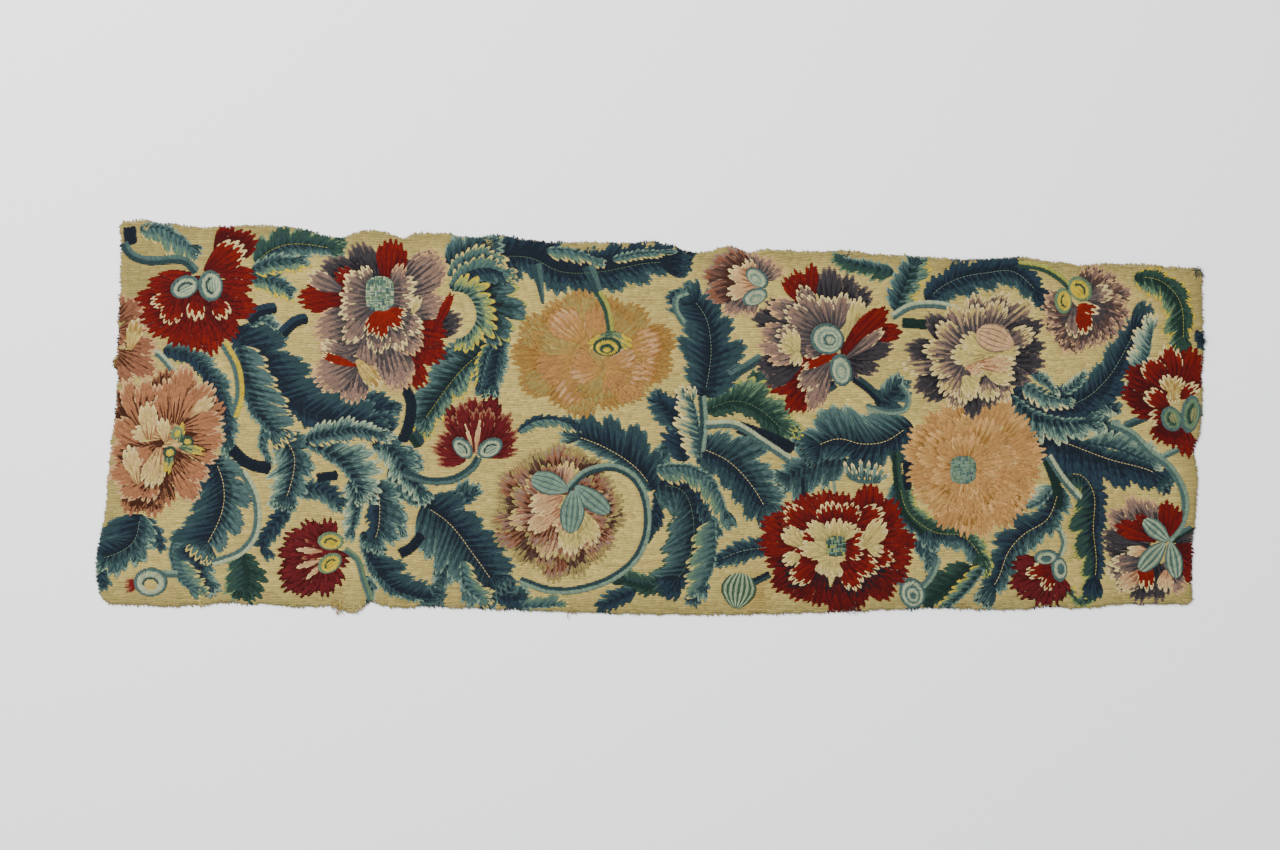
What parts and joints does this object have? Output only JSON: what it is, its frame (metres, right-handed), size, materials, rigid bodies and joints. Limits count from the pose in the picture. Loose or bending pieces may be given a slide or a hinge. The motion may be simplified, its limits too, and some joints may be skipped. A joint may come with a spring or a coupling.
{
  "type": "crewel embroidery panel",
  "caption": "Flat cut length of linen worked all over in wool with flowers and curling leaves on a straw-coloured ground, its four edges left ragged.",
  "frame": {"origin": "middle of the panel's box, on the underside that lies on the surface", "axes": "+X along the panel's length, to the right in the picture; +Y up the worked face; +Z out of the worked face"},
  "size_m": [0.84, 0.299, 0.0027],
  "materials": {
    "wool on linen": "matt wool yarn"
  },
  "bodies": {
    "root": {"panel": "wool on linen"}
  },
  "joints": []
}
